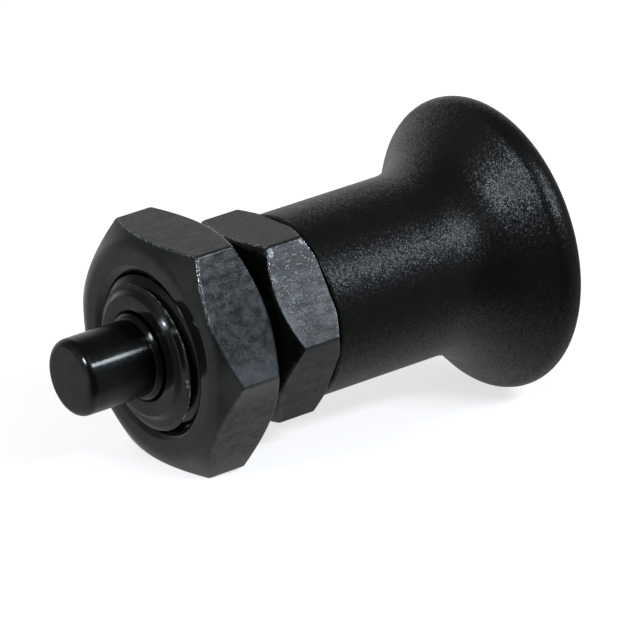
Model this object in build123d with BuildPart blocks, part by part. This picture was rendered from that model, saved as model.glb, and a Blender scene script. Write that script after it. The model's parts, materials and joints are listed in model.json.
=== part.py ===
"""Indexing plunger: a spring-loaded index pin in a threaded guide body, with a lock nut and a pull knob.

Units are millimetres. The plunger's axis is X. The pin points to -X and the knob is at +X. The origin is
the centre of the hex collar's front face, and the lock nut lies with one flat straight down, at -Z.
"""

import os
from math import asin, cos, radians, sin, sqrt, tan

from build123d import *

# --- index pin ---
pin_diameter = 8.0
pin_projection = 8.4            # from the nose's end face to the tip; a pull this long brings it flush
pin_tip_radius = 0.9
guide_step = 0.5                # radial, pin to guide
guide_clearance = 0.03          # radial, running fit of the guide in its bore
guide_projection = 0.25         # how far the guide shows in front of the nose
guide_chamfer = 0.3
guide_mouth_chamfer = 0.3       # countersink of the guide bore at the nose
guide_bore_length = 7.2         # from the nose's end face to the spring chamber
flange_step = 1.0               # radial, guide to the flange that stops the pin and carries the spring
flange_clearance = 0.2          # radial, flange to spring chamber
flange_length = 2.0
stem_step = 0.5                 # radial, stem to its threaded end
stem_end_length = 7.5           # threaded end, held in the knob's insert
stem_end_chamfer = 0.5

# --- spring and rear bush ---
spring_wire = 1.1
spring_wire_sides = 8           # the round wire is drawn with flats, which keeps the spring light
spring_clearance = 0.2          # radial, spring to spring chamber
spring_stem_room = 1.4          # radial, spring to stem
spring_active_turns = 5
spring_end_turns = 1            # closed turns at each end, ground flat
spring_end_gap = 0.06           # between the closed turns
spring_reserve = 2.35           # length left above the solid length when the pin is fully pulled
bush_length = 3.0
bush_clearance = 0.04           # radial, running fit of the stem in the rear bush
bush_bore_chamfer = 0.4

# --- lock nut ---
nut_wall = 4.0                  # from the thread to a flat
nut_height = 8.0
nut_gap = 2.1                   # between the nut and the collar
nut_face_inset = 1.0            # radial, from a flat to the ring face inside the corner chamfer
nut_chamfer_angle = 33.0
nut_countersink = 0.55          # radial, from the thread to the rim of the countersink
nut_thread_clearance = 0.05     # radial, nut bore to mounting thread

# --- guide body ---
nose_wall = 2.3                 # from the spring chamber to the outside of the thread
nose_lead = 1.1                 # how far the nose stands out of the nut
nose_chamfer_depth = 1.0        # radial
nose_chamfer_length = 0.85      # along the axis
collar_seat_width = 1.5         # from the thread to a flat of the collar
collar_length = 6.45
collar_face_inset = 0.5         # radial, from a flat to the edge of the seating face
collar_rear_cut = 0.4           # radial, how far outside the flats the rear corner chamfer starts
collar_chamfer_angle = 38.0
collar_clocking = -2.0          # how far the collar's flats are turned from the nut's
hex_edge_radius = 0.4           # rounding of the six long edges of nut and collar
shank_wall = 1.3                # from the spring chamber to the outside of the rear shank
shank_rear_chamfer = 0.5

# --- knob and its insert ---
knob_gap = 0.25                 # between the collar and the sleeve at rest
knob_bore_clearance = 0.2       # radial, shank to sleeve
knob_bore_overrun = 1.0         # room past the shank's end at rest
knob_sleeve_wall = 2.5
knob_mouth_radius = 0.35        # rounding of the sleeve's front edge
flare_lead = 2.65               # from the shank's end to where the sleeve starts to widen
flare_radius = 8.0
flare_angle = 46.5              # steepest slope of the flare
rim_overhang = 5.8              # radial, from the sleeve to the rim
rim_radius = 2.0                # rounding of the rim, front and back
crown_radius = 70.0             # gentle dome of the end face
insert_wall = 2.0               # around the stem's threaded end
insert_end_wall = 1.5           # behind the stem's threaded end
insert_groove_width = 1.6       # ring groove that keys the insert in the plastic
insert_groove_depth = 0.6

# --- diameters worked out from the sizes above ---
guide_diameter = pin_diameter + 2 * guide_step
flange_diameter = guide_diameter + 2 * flange_step
chamber_diameter = flange_diameter + 2 * flange_clearance
spring_outer_diameter = chamber_diameter - 2 * spring_clearance
stem_diameter = spring_outer_diameter - 2 * spring_wire - 2 * spring_stem_room
stem_end_diameter = stem_diameter - 2 * stem_step
insert_diameter = stem_end_diameter + 2 * insert_wall
thread_diameter = chamber_diameter + 2 * nose_wall     # 16 mm, drawn as a plain cylinder
nut_across_flats = thread_diameter + 2 * nut_wall
collar_across_flats = thread_diameter + 2 * collar_seat_width
shank_diameter = chamber_diameter + 2 * shank_wall
knob_bore_diameter = shank_diameter + 2 * knob_bore_clearance
knob_sleeve_diameter = knob_bore_diameter + 2 * knob_sleeve_wall
rim_diameter = knob_sleeve_diameter + 2 * rim_overhang

# --- places along the axis, from the pin's tip back to the knob ---
nut_rear_x = -nut_gap
nut_front_x = nut_rear_x - nut_height
nose_face_x = nut_front_x - nose_lead
pin_tip_x = nose_face_x - pin_projection
guide_front_x = nose_face_x - guide_projection
chamber_front_x = nose_face_x + guide_bore_length
flange_rear_x = chamber_front_x + flange_length
spring_solid_length = (spring_active_turns + 2 * spring_end_turns) * spring_wire
spring_length = pin_projection + spring_solid_length + spring_reserve
bush_front_x = flange_rear_x + spring_length
shank_end_x = bush_front_x + bush_length
knob_front_x = collar_length + knob_gap
hub_front_x = shank_end_x + knob_bore_overrun
stem_end_rear_x = hub_front_x + stem_end_length
insert_rear_x = stem_end_rear_x + insert_end_wall
flare_start_x = shank_end_x + flare_lead

os.makedirs("parts", exist_ok=True)


def hexagon(across_flats, clocking=0.0):
    """Hexagon with rounded corners and a flat straight down, turned by the clocking angle."""
    RegularPolygon(across_flats / 2, 6, major_radius=False, rotation=clocking)
    fillet(vertices(), hex_edge_radius)


def chamfer_envelope(front_x, rear_x, front_diameter, rear_diameter, angle, across_flats):
    """Turned blank that cuts the corners of a hexagon: two cones that meet its end faces."""
    reach = across_flats / sqrt(3) + 1.0
    front_radius = front_diameter / 2
    rear_radius = rear_diameter / 2
    slope = tan(radians(angle))
    with BuildSketch(Plane.XY) as blank:
        with BuildLine():
            Polyline(
                (front_x, 0),
                (front_x, front_radius),
                (front_x + (reach - front_radius) * slope, reach),
                (rear_x - (reach - rear_radius) * slope, reach),
                (rear_x, rear_radius),
                (rear_x, 0),
                close=True,
            )
        make_face()
    revolve(blank.sketch, axis=Axis.X, mode=Mode.INTERSECT)


# --- guide body: threaded nose, hex collar and rear shank in one turned piece ---
with BuildPart() as guide_body:
    with BuildSketch(Plane.YZ):
        hexagon(collar_across_flats, collar_clocking)
    extrude(amount=collar_length)
    chamfer_envelope(
        0,
        collar_length,
        collar_across_flats - 2 * collar_face_inset,
        collar_across_flats + 2 * collar_rear_cut,
        collar_chamfer_angle,
        collar_across_flats,
    )
    with BuildSketch(Plane.XY):
        with BuildLine():
            Polyline(
                (nose_face_x, 0),
                (nose_face_x, thread_diameter / 2 - nose_chamfer_depth),
                (nose_face_x + nose_chamfer_length, thread_diameter / 2),
                (0, thread_diameter / 2),
                (0, 0),
                close=True,
            )
        make_face()
    revolve(axis=Axis.X)
    with BuildSketch(Plane.YZ.offset(collar_length)):
        Circle(shank_diameter / 2)
    extrude(amount=shank_end_x - collar_length)
    chamfer(faces().sort_by(Axis.X)[-1].edges(), shank_rear_chamfer)
    with BuildSketch(Plane.XY):
        with BuildLine():
            Polyline(
                (nose_face_x, 0),
                (nose_face_x, guide_diameter / 2 + guide_mouth_chamfer),
                (nose_face_x + guide_mouth_chamfer, guide_diameter / 2),
                (chamber_front_x, guide_diameter / 2),
                (chamber_front_x, chamber_diameter / 2),
                (shank_end_x, chamber_diameter / 2),
                (shank_end_x, 0),
                close=True,
            )
        make_face()
    revolve(axis=Axis.X, mode=Mode.SUBTRACT)
guide_body.part.label = "guide_body"
export_step(guide_body.part, "parts/guide_body.step")

# --- lock nut ---
with BuildPart() as lock_nut:
    with BuildSketch(Plane.YZ.offset(nut_front_x)):
        hexagon(nut_across_flats)
    extrude(amount=nut_height)
    chamfer_envelope(
        nut_front_x,
        nut_rear_x,
        nut_across_flats - 2 * nut_face_inset,
        nut_across_flats - 2 * nut_face_inset,
        nut_chamfer_angle,
        nut_across_flats,
    )
    with BuildSketch(Plane.YZ.offset(nut_front_x)):
        Circle(thread_diameter / 2 + nut_thread_clearance)
    extrude(amount=nut_height, mode=Mode.SUBTRACT)
    nut_bore_edges = edges().filter_by(GeomType.CIRCLE).sort_by(SortBy.RADIUS)[:2]
    chamfer(nut_bore_edges, nut_countersink - nut_thread_clearance)
lock_nut.part.label = "lock_nut"
export_step(lock_nut.part, "parts/lock_nut.step")

# --- index pin: tip, guide, flange, stem and threaded end, turned in one piece ---
guide_radius = guide_diameter / 2 - guide_clearance

with BuildPart() as plunger_pin:
    with BuildSketch(Plane.XY):
        with BuildLine():
            Line((pin_tip_x, 0), (pin_tip_x, pin_diameter / 2 - pin_tip_radius))
            RadiusArc(
                (pin_tip_x, pin_diameter / 2 - pin_tip_radius),
                (pin_tip_x + pin_tip_radius, pin_diameter / 2),
                pin_tip_radius,
            )
            Polyline(
                (pin_tip_x + pin_tip_radius, pin_diameter / 2),
                (guide_front_x - guide_chamfer, pin_diameter / 2),
                (guide_front_x - guide_chamfer, guide_radius - guide_chamfer),
                (guide_front_x, guide_radius),
                (chamber_front_x, guide_radius),
                (chamber_front_x, flange_diameter / 2),
                (flange_rear_x, flange_diameter / 2),
                (flange_rear_x, stem_diameter / 2),
                (hub_front_x, stem_diameter / 2),
                (hub_front_x, stem_end_diameter / 2),
                (stem_end_rear_x - stem_end_chamfer, stem_end_diameter / 2),
                (stem_end_rear_x, stem_end_diameter / 2 - stem_end_chamfer),
                (stem_end_rear_x, 0),
                (pin_tip_x, 0),
            )
        make_face()
    revolve(axis=Axis.X)
plunger_pin.part.label = "plunger_pin"
export_step(plunger_pin.part, "parts/plunger_pin.step")

# --- compression spring: round turns, closed and ground at both ends ---
# Each half turn is a flat arc that leaves and enters straight along Z, so the arcs join smoothly.
spring_mean_radius = (spring_outer_diameter - spring_wire) / 2
closed_half_turns = 2 * spring_end_turns
open_half_turns = 2 * spring_active_turns
closed_rise = (spring_wire + spring_end_gap) / 2
open_rise = (spring_length - 2 * closed_half_turns * closed_rise) / open_half_turns
closed_rises = [closed_rise] * closed_half_turns
half_turn_rises = closed_rises + [open_rise] * open_half_turns + closed_rises

with BuildPart() as compression_spring:
    with BuildLine():
        x = flange_rear_x
        side = spring_mean_radius
        for rise in half_turn_rises:
            ThreePointArc((x, side, 0), (x + rise / 2, 0, side), (x + rise, -side, 0))
            x += rise
            side = -side
    with BuildSketch(Plane.XY.move(Location((flange_rear_x, spring_mean_radius, 0)))):
        RegularPolygon(spring_wire / 2, spring_wire_sides)
    sweep()
    with BuildSketch(Plane.YZ.offset(flange_rear_x)):
        Circle(spring_outer_diameter)
    extrude(amount=spring_length, mode=Mode.INTERSECT)
compression_spring.part.label = "compression_spring"
export_step(compression_spring.part, "parts/compression_spring.step")

# --- rear bush, pressed into the shank ---
with BuildPart() as rear_bush:
    with BuildSketch(Plane.YZ.offset(bush_front_x)):
        Circle(chamber_diameter / 2)
        Circle(stem_diameter / 2 + bush_clearance, mode=Mode.SUBTRACT)
    extrude(amount=bush_length)
    bush_bore_edges = edges().filter_by(GeomType.CIRCLE).sort_by(SortBy.RADIUS)[:2]
    chamfer(bush_bore_edges, bush_bore_chamfer)
rear_bush.part.label = "rear_bush"
export_step(rear_bush.part, "parts/rear_bush.step")

# --- knob insert, moulded into the knob's hub ---
insert_length = insert_rear_x - hub_front_x
insert_groove_x = hub_front_x + insert_length / 2
insert_groove_front_x = insert_groove_x - insert_groove_width / 2
insert_groove_rear_x = insert_groove_front_x + insert_groove_width
insert_groove_radius = insert_diameter / 2 - insert_groove_depth

with BuildPart() as knob_insert:
    with BuildSketch(Plane.YZ.offset(hub_front_x)):
        Circle(insert_diameter / 2)
    extrude(amount=insert_length)
    with BuildSketch(Plane.YZ.offset(insert_groove_front_x)):
        Circle(insert_diameter / 2)
        Circle(insert_groove_radius, mode=Mode.SUBTRACT)
    extrude(amount=insert_groove_width, mode=Mode.SUBTRACT)
    with BuildSketch(Plane.YZ.offset(hub_front_x)):
        Circle(stem_end_diameter / 2)
    extrude(amount=stem_end_length, mode=Mode.SUBTRACT)
knob_insert.part.label = "knob_insert"
export_step(knob_insert.part, "parts/knob_insert.step")

# --- knob: sleeve, flare, rounded rim and domed end, moulded in one piece ---
sleeve_radius = knob_sleeve_diameter / 2
rim_outer_radius = rim_diameter / 2
slope_sin = sin(radians(flare_angle))
slope_cos = cos(radians(flare_angle))
flare_end_x = flare_start_x + flare_radius * slope_sin
flare_end_radius = sleeve_radius + flare_radius * (1 - slope_cos)
rim_start_radius = rim_outer_radius - rim_radius * (1 - slope_cos)
rim_start_x = flare_end_x + (rim_start_radius - flare_end_radius) / tan(radians(flare_angle))
rim_centre_x = rim_start_x + rim_radius * slope_sin
rim_centre_radius = rim_outer_radius - rim_radius
crown_half_angle = asin(rim_centre_radius / (crown_radius - rim_radius))
crown_edge_x = rim_centre_x + rim_radius * cos(crown_half_angle)
crown_edge_radius = rim_centre_radius + rim_radius * sin(crown_half_angle)
crown_centre_x = rim_centre_x - (crown_radius - rim_radius) * cos(crown_half_angle)
crown_x = crown_centre_x + crown_radius
rim_middle_angle = (radians(90 + flare_angle) + crown_half_angle) / 2
crown_middle_angle = crown_half_angle / 2

with BuildPart() as knob:
    with BuildSketch(Plane.XY):
        with BuildLine():
            Polyline(
                (crown_x, 0),
                (insert_rear_x, 0),
                (insert_rear_x, insert_diameter / 2),
                (insert_groove_rear_x, insert_diameter / 2),
                (insert_groove_rear_x, insert_groove_radius),
                (insert_groove_front_x, insert_groove_radius),
                (insert_groove_front_x, insert_diameter / 2),
                (hub_front_x, insert_diameter / 2),
                (hub_front_x, knob_bore_diameter / 2),
                (knob_front_x, knob_bore_diameter / 2),
                (knob_front_x, sleeve_radius - knob_mouth_radius),
            )
            RadiusArc(
                (knob_front_x, sleeve_radius - knob_mouth_radius),
                (knob_front_x + knob_mouth_radius, sleeve_radius),
                knob_mouth_radius,
            )
            Line((knob_front_x + knob_mouth_radius, sleeve_radius), (flare_start_x, sleeve_radius))
            RadiusArc(
                (flare_start_x, sleeve_radius),
                (flare_end_x, flare_end_radius),
                -flare_radius,
            )
            Line((flare_end_x, flare_end_radius), (rim_start_x, rim_start_radius))
            ThreePointArc(
                (rim_start_x, rim_start_radius),
                (
                    rim_centre_x + rim_radius * cos(rim_middle_angle),
                    rim_centre_radius + rim_radius * sin(rim_middle_angle),
                ),
                (crown_edge_x, crown_edge_radius),
            )
            ThreePointArc(
                (crown_edge_x, crown_edge_radius),
                (
                    crown_centre_x + crown_radius * cos(crown_middle_angle),
                    crown_radius * sin(crown_middle_angle),
                ),
                (crown_x, 0),
            )
        make_face()
    revolve(axis=Axis.X)
knob.part.label = "knob"
export_step(knob.part, "parts/knob.step")
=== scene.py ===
"""Indexing plunger: the dressed pieces, their finishes and a plain studio, laid out as an add-on.

Every size is in metres. The plunger's axis is X, with the pin at -X and the knob at +X.
"""

import json
from math import asin, cos, hypot, pi, radians, sin, sqrt, tan

import bpy
from bpy.props import FloatProperty, FloatVectorProperty, PointerProperty
from mathutils import Matrix, Vector


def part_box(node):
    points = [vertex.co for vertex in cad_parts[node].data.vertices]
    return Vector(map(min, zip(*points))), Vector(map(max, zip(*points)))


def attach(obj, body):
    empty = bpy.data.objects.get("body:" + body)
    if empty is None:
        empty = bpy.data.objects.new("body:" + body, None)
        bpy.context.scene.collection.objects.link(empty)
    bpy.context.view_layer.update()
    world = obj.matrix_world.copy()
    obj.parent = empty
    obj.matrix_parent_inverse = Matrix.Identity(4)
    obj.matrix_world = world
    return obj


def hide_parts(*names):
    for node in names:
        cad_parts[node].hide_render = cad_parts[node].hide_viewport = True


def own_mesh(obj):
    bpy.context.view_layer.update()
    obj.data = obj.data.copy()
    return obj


bl_info = {
    "name": "Indexing Plunger",
    "version": (1, 0, 0),
    "blender": (4, 5, 0),
    "location": "View3D > Sidebar > Plunger",
    "description": "Builds the dressed pieces of an indexing plunger around its CAD frame",
    "category": "Object",
}

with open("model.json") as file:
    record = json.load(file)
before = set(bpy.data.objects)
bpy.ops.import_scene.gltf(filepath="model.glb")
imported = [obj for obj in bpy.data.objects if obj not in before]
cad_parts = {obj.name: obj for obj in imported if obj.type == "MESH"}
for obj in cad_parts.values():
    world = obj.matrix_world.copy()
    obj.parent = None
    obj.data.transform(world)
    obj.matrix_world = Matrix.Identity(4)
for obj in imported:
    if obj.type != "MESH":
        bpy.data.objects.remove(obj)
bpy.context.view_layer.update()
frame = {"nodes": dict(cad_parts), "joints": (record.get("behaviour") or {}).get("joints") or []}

MM = 0.001
HEX_SIDES = 6
ROUND_STEPS = 180       # facets round a turned piece
GROOVE_STEPS = 96       # steps in each turn of a thread groove
COIL_STEPS = 48         # steps in each turn of the spring
WIRE_SIDES = 16         # facets round the spring's wire
CORNER_SEGMENTS = 6     # facets across a hexagon's rounded long edge
EDGE_SEGMENTS = 3       # facets across a softened chamfer edge
SMOOTH_ANGLE = radians(34)
MERGE = 1e-7            # metres, closer vertices are one
GROOVE_SHARE = 0.4375   # half a groove's width at the crest, as a share of the pitch
FLAT_LEAN = 0.05        # a face that runs along X has less of X in its normal
CHAMFER_LEAN = 0.3      # a chamfer or an end face has more
FLANK_SLOPE = tan(radians(30))


# --- sizes and finishes that a user would change ---


class PlungerSizes(bpy.types.PropertyGroup):
    """Sizes that the dressed pieces add to the CAD frame, or share with it."""

    pitch: FloatProperty(
        name="Thread pitch", description="Rise of the mounting thread in one turn",
        default=1.5 * MM, min=0.5 * MM, max=3 * MM, unit="LENGTH", precision=5)
    thread_depth: FloatProperty(
        name="Thread depth", description="From the crest of the nose's thread to its root",
        default=0.92 * MM, min=0.1 * MM, max=1.2 * MM, unit="LENGTH", precision=5)
    nut_thread_depth: FloatProperty(
        name="Nut thread depth", description="Depth of the thread grooves in the nut's bore",
        default=0.42 * MM, min=0.1 * MM, max=1.2 * MM, unit="LENGTH", precision=5)
    corner_radius: FloatProperty(
        name="Corner radius", description="Rounding of the six long edges of each hexagon",
        default=0.42 * MM, min=0.05 * MM, max=1.5 * MM, unit="LENGTH", precision=5)
    nut_face_radius: FloatProperty(
        name="Nut face rounding", description="Blend between the nut's face and its chamfer",
        default=2.6 * MM, min=0.1 * MM, max=5 * MM, unit="LENGTH", precision=5)
    nut_edge_width: FloatProperty(
        name="Nut edge width", description="Rounded width of the edge between chamfer and flat",
        default=0.22 * MM, min=0.02 * MM, max=0.6 * MM, unit="LENGTH", precision=5)
    collar_edge_width: FloatProperty(
        name="Collar edge width", description="Rounded width of the collar's chamfer edges",
        default=0.1 * MM, min=0.02 * MM, max=0.6 * MM, unit="LENGTH", precision=5)
    floor_tilt: FloatProperty(
        name="Floor tilt", description="Angle between the plunger's axis and the floor it lies on",
        default=radians(4.867), min=0.0, max=radians(20), unit="ROTATION", precision=4)
    floor_size: FloatProperty(
        name="Floor size", description="Side of the square floor",
        default=6.0, min=0.5, max=20.0, unit="LENGTH")


class PlungerFinish(bpy.types.PropertyGroup):
    """Colours and roughness of the finishes."""

    nut_oxide: FloatVectorProperty(
        name="Nut oxide", description="Black oxide on the lock nut",
        subtype="COLOR", size=3, min=0, max=1, default=(0.062, 0.0642, 0.0632))
    body_oxide: FloatVectorProperty(
        name="Body oxide", description="Black oxide on the guide body's collar and thread",
        subtype="COLOR", size=3, min=0, max=1, default=(0.052, 0.0535, 0.0525))
    pin_oxide: FloatVectorProperty(
        name="Pin oxide", description="Black oxide on the ground pin",
        subtype="COLOR", size=3, min=0, max=1, default=(0.056, 0.0586, 0.0558))
    worn_steel: FloatVectorProperty(
        name="Worn steel", description="Steel that shows where the oxide is rubbed off the edges",
        subtype="COLOR", size=3, min=0, max=1, default=(0.42, 0.44, 0.47))
    knob_plastic: FloatVectorProperty(
        name="Knob plastic", description="Black moulded thermoplastic",
        subtype="COLOR", size=3, min=0, max=1, default=(0.0034, 0.0038, 0.0036))
    knob_roughness: FloatProperty(
        name="Knob roughness", description="Roughness of the knob's moulded grain",
        subtype="FACTOR", min=0, max=1, default=0.32)
    nut_roughness: FloatProperty(
        name="Nut roughness", description="Roughness of the nut's oxide",
        subtype="FACTOR", min=0, max=1, default=0.16)
    body_roughness: FloatProperty(
        name="Body roughness", description="Roughness of the guide body's oxide",
        subtype="FACTOR", min=0, max=1, default=0.22)
    pin_roughness: FloatProperty(
        name="Pin roughness", description="Roughness of the ground pin",
        subtype="FACTOR", min=0, max=1, default=0.13)


# --- modelling by hand: small steps on the active mesh ---


def start_piece(name, add, **options):
    """Deselects everything, adds a primitive and names it."""
    bpy.ops.object.select_all(action="DESELECT")
    add(**options)
    piece = bpy.context.active_object
    piece.name = name
    piece.data.name = name
    return piece


def make_active(piece):
    """Leaves only this piece selected."""
    bpy.ops.object.select_all(action="DESELECT")
    piece.select_set(True)
    bpy.context.view_layer.objects.active = piece


def place(piece):
    """Moves the object's place, turn and scale into its mesh."""
    make_active(piece)
    bpy.ops.object.transform_apply(location=True, rotation=True, scale=True)


def edit_all(operator, **options):
    """Runs one mesh operator on everything in the active mesh."""
    bpy.ops.object.mode_set(mode="EDIT")
    bpy.ops.mesh.select_all(action="SELECT")
    operator(**options)
    bpy.ops.object.mode_set(mode="OBJECT")


def edit_chosen(piece, domain, test, operator, **options):
    """Runs one mesh operator on the vertices or edges of the active mesh that pass a test."""
    bpy.ops.object.mode_set(mode="EDIT")
    bpy.ops.mesh.select_mode(type={"vertices": "VERT", "edges": "EDGE"}[domain])
    bpy.ops.mesh.select_all(action="DESELECT")
    bpy.ops.object.mode_set(mode="OBJECT")
    chosen = [item for item in getattr(piece.data, domain) if test(piece.data, item)]
    if not chosen:
        raise RuntimeError(f"{piece.name}: none of the {domain} to edit")
    for item in chosen:
        item.select = True
    bpy.ops.object.mode_set(mode="EDIT")
    operator(**options)
    bpy.ops.object.mode_set(mode="OBJECT")


def tidy_mesh(piece):
    """Merges doubled vertices and points the faces outwards."""
    make_active(piece)
    bpy.ops.object.mode_set(mode="EDIT")
    bpy.ops.mesh.select_mode(type="VERT")
    bpy.ops.mesh.select_all(action="SELECT")
    bpy.ops.mesh.remove_doubles(threshold=MERGE)
    bpy.ops.mesh.dissolve_degenerate(threshold=MERGE)
    bpy.ops.mesh.select_all(action="SELECT")
    bpy.ops.mesh.normals_make_consistent(inside=False)
    bpy.ops.object.mode_set(mode="OBJECT")


def apply_all(piece):
    """Applies the piece's modifiers in order."""
    make_active(piece)
    for name in [m.name for m in piece.modifiers]:
        bpy.ops.object.modifier_apply(modifier=name)


def wind(piece, rise, turns, steps):
    """Sweeps an outline along a helix round X. rise is how far it goes in each turn."""
    screw = piece.modifiers.new("helix", "SCREW")
    screw.axis = "X"
    screw.angle = 2 * pi
    screw.screw_offset = rise
    screw.iterations = turns
    screw.steps = screw.render_steps = steps
    apply_all(piece)


def carve(piece, tool, operation):
    """Joins, cuts or keeps the overlap of the piece and a tool body, and removes the tool."""
    make_active(piece)
    step = piece.modifiers.new(operation.lower(), "BOOLEAN")
    step.operation = operation
    step.solver = "EXACT"
    step.object = tool
    apply_all(piece)
    bpy.data.objects.remove(tool)
    tidy_mesh(piece)


def corner_offset(points, index, radius):
    """How far along its two edges a profile corner is cut back for an arc of this radius."""
    before, here, after = (Vector(points[(index + k) % len(points)]) for k in (-1, 0, 1))
    turn = (here - before).angle(after - here)
    return radius * tan(turn / 2)


def turned(name, points, rounds, closed=True):
    """A turned piece: a profile of (x, r) points, drawn, its corners rounded, then spun.

    rounds maps a profile point's index to (radius, segments). An open profile starts and ends on
    the axis.
    """
    x0, r0 = points[0]
    piece = start_piece(
        name, bpy.ops.mesh.primitive_plane_add, size=MM, location=(x0, 0, r0))
    place(piece)
    bpy.ops.object.mode_set(mode="EDIT")
    bpy.ops.mesh.select_all(action="SELECT")
    bpy.ops.mesh.merge(type="CENTER")
    for (xa, ra), (xb, rb) in zip(points, points[1:]):
        bpy.ops.mesh.extrude_vertices_move(
            TRANSFORM_OT_translate={"value": (xb - xa, 0, rb - ra)})
    bpy.ops.object.mode_set(mode="OBJECT")
    if closed:
        ends = {0, len(piece.data.vertices) - 1}
        edit_chosen(piece, "vertices", lambda mesh, v: v.index in ends,
                    bpy.ops.mesh.edge_face_add)
    for index, (radius, segments) in sorted(rounds.items(), reverse=True):
        spot = Vector((points[index][0], 0, points[index][1]))
        edit_chosen(piece, "vertices", lambda mesh, v: (v.co - spot).length < MERGE * 10,
                    bpy.ops.mesh.bevel, offset=corner_offset(points, index, radius),
                    offset_type="OFFSET", segments=segments, affect="VERTICES",
                    clamp_overlap=False)
    edit_all(bpy.ops.mesh.spin, steps=ROUND_STEPS, angle=2 * pi, center=(0, 0, 0), axis=(1, 0, 0))
    tidy_mesh(piece)
    return piece


def hexagon_bar(name, across_flats, x_from, x_to, corner_radius, clocking=0.0):
    """A hexagonal bar along X with rounded long edges and, unturned, a flat straight down."""
    piece = start_piece(
        name, bpy.ops.mesh.primitive_cylinder_add, vertices=HEX_SIDES,
        radius=across_flats / sqrt(3), depth=x_to - x_from,
        location=((x_from + x_to) / 2, 0, 0), rotation=(0, pi / 2, 0))
    place(piece)
    if clocking:
        piece.rotation_euler = (clocking, 0, 0)
        place(piece)

    def long_edge(mesh, edge):
        start, end = (mesh.vertices[i].co for i in edge.vertices)
        return abs(start.x - end.x) > MM
    edit_chosen(piece, "edges", long_edge, bpy.ops.mesh.bevel,
                offset=corner_radius * tan(pi / HEX_SIDES), offset_type="OFFSET",
                segments=CORNER_SEGMENTS, affect="EDGES")
    return piece


def groove_cutter(name, wall, depth, pitch, x_from, turns, outward, start_angle, crest=0.0):
    """A helical bar of V section that cuts a right-hand thread groove into a round wall.

    wall is the radius that the groove opens on. outward cuts away from the axis, as in a nut.
    crest is the radius that rounds the edges of the thread's crest.
    """
    side = 1 if outward else -1
    clear = 0.15 * MM       # how far the bar stands out of the wall
    half = pitch * GROOVE_SHARE
    flank = [(half - depth * FLANK_SLOPE, wall + side * depth)]
    if crest:
        centre = half + crest * FLANK_SLOPE
        flank += [(centre - crest * sin(radians(a)), wall + side * crest * (1 - cos(radians(a))))
                  for a in (60, 40, 20, 6)]
        flank.append((flank[-1][0] + 0.01 * MM, wall - side * clear))
    else:
        flank.append((half + clear * FLANK_SLOPE, wall - side * clear))
    corners = [(-dx, r) for dx, r in reversed(flank)] + flank
    piece = start_piece(
        name, bpy.ops.mesh.primitive_circle_add, vertices=len(corners), radius=MM,
        fill_type="NOTHING", location=(0, 0, 0))
    for vertex, (dx, r) in zip(piece.data.vertices, corners):
        vertex.co = (x_from + dx, 0, r)
    wind(piece, pitch, turns, GROOVE_STEPS)
    edit_all(bpy.ops.mesh.fill_holes, sides=len(corners))
    piece.rotation_euler = (start_angle, 0, 0)
    place(piece)
    tidy_mesh(piece)
    return piece


def soften(piece, width, test):
    """Rounds the chosen edges of the piece."""
    make_active(piece)
    edit_chosen(piece, "edges", test, bpy.ops.mesh.bevel, offset=width, offset_type="OFFSET",
                segments=EDGE_SEGMENTS, affect="EDGES", clamp_overlap=False)
    tidy_mesh(piece)


def finish_shading(piece):
    """Smooths the shading over rounded edges and keeps the flats flat."""
    make_active(piece)
    bpy.ops.object.shade_smooth_by_angle(angle=SMOOTH_ANGLE, keep_sharp_edges=False)
    weigh = piece.modifiers.new("weigh", "WEIGHTED_NORMAL")
    weigh.keep_sharp = True
    apply_all(piece)


def faces_of_edges(mesh):
    """Lists for each edge the faces that share it."""
    found = {}
    for face in mesh.polygons:
        for loop in face.loop_indices:
            found.setdefault(mesh.loops[loop].edge_index, []).append(face.index)
    return found


def is_chamfer_edge(mesh, sharing, edge, beyond):
    """Whether an edge lies between a hexagon's flat and its chamfer, outside a given radius."""
    along, across = sorted(abs(mesh.polygons[i].normal.x) for i in sharing[edge.index])
    return along < FLAT_LEAN and across > CHAMFER_LEAN and beyond < hypot(
        *middle_of(mesh, edge).yz)


def middle_of(mesh, edge):
    """The middle of an edge."""
    start, end = (mesh.vertices[i].co for i in edge.vertices)
    return (start + end) / 2


def hand_over(piece, body, node, material):
    """Gives a piece its shading, its finish and its body, and hides the CAD node that it stands
    for.
    """
    finish_shading(piece)
    piece.data.materials.clear()
    piece.data.materials.append(material)
    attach(piece, body)
    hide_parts(node)


# --- places and radii: some read from the CAD frame, the rest given ---

nut_low, nut_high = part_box("lock_nut")
guide_low, guide_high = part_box("guide_body")
pin_low, pin_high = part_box("plunger_pin")
knob_low, knob_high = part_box("knob")
spring_low, spring_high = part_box("compression_spring")
bush_low, bush_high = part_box("rear_bush")
insert_low, insert_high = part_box("knob_insert")

NUT_FRONT, NUT_REAR = nut_low.x, nut_high.x
NUT_FLATS = nut_high.z - nut_low.z
NOSE_FACE, SHANK_END = guide_low.x, guide_high.x
CHAMBER_RADIUS = bush_high.z
RIM_RADIUS = knob_high.z
INSERT_RADIUS = insert_high.z
SPRING_RADIUS = spring_high.z
THREAD_RADIUS = 8.0 * MM
NUT_FACE = NUT_FLATS / 2 - 1.0 * MM         # radius where the nut's chamfers start
NUT_SLOPE = tan(radians(33))                # how far its chamfers go along X per step outwards
COLLAR_FLATS = 19.0 * MM
COLLAR_FRONT = COLLAR_FLATS / 2 - 0.5 * MM  # radius where the collar's front chamfer starts
COLLAR_REAR = COLLAR_FLATS / 2 + 0.4 * MM
COLLAR_SLOPE = tan(radians(38))
COLLAR_LENGTH = 6.45 * MM
COLLAR_CLOCKING = radians(-2.0)
GUIDE_BORE = 4.5 * MM
CHAMBER_FRONT = -4.0 * MM
SHANK_RADIUS = 7.0 * MM
PIN_RADIUS = 4.0 * MM
SLEEVE_RADIUS = 9.7 * MM
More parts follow.
